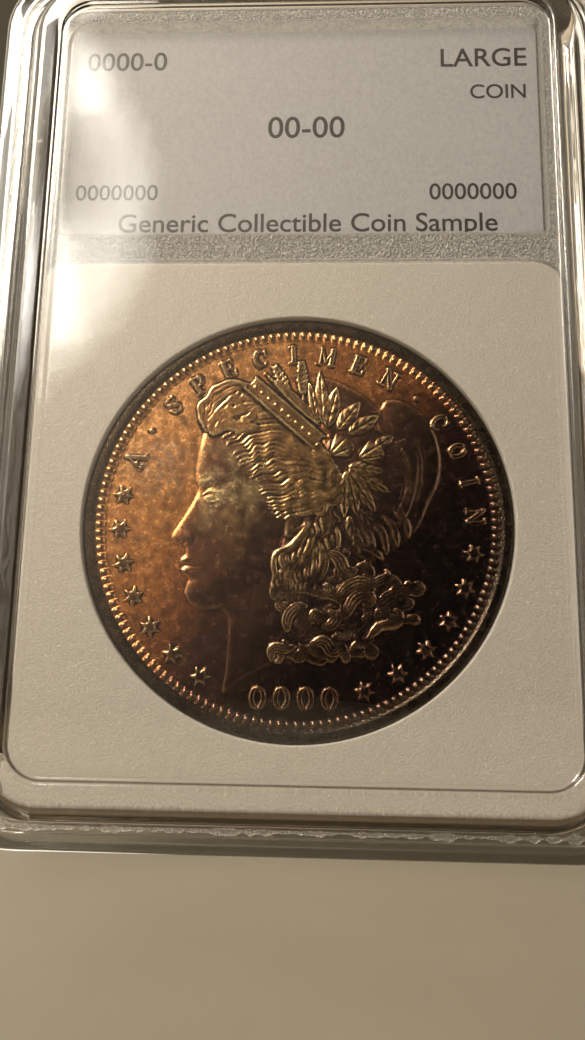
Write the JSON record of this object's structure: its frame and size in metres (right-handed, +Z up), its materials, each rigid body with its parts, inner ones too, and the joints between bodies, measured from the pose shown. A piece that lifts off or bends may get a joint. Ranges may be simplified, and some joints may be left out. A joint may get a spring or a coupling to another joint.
{
  "type": "graded coin slab",
  "caption": "Sealed clear plastic holder with a raised protective rail, showing a large old silver coin in a white insert under a printed label.",
  "frame": {"origin": "middle of the bottom edge, on the seam between the two shells", "axes": "+Z up the slab towards the label, -Y out of the front that shows the coin's head side, +X to the right as seen from the front"},
  "size_m": [0.0604, 0.008, 0.0857],
  "materials": {
    "clear_shell": "clear, polished, as moulded",
    "weld": "frosted, uneven, melted and set again",
    "white_insert": "fine leather grain",
    "frosted_frame": "clear with a pebbled grain",
    "label": "smooth card with plain black print",
    "toned_silver": "struck silver with copper, gold and violet-brown toning"
  },
  "bodies": {
    "root": {"front_shell": "clear_shell", "rear_shell": "clear_shell", "weld_bead": "weld", "coin_insert": "white_insert", "label_frame": "frosted_frame", "label_card": "label", "coin": "toned_silver"}
  },
  "joints": []
}
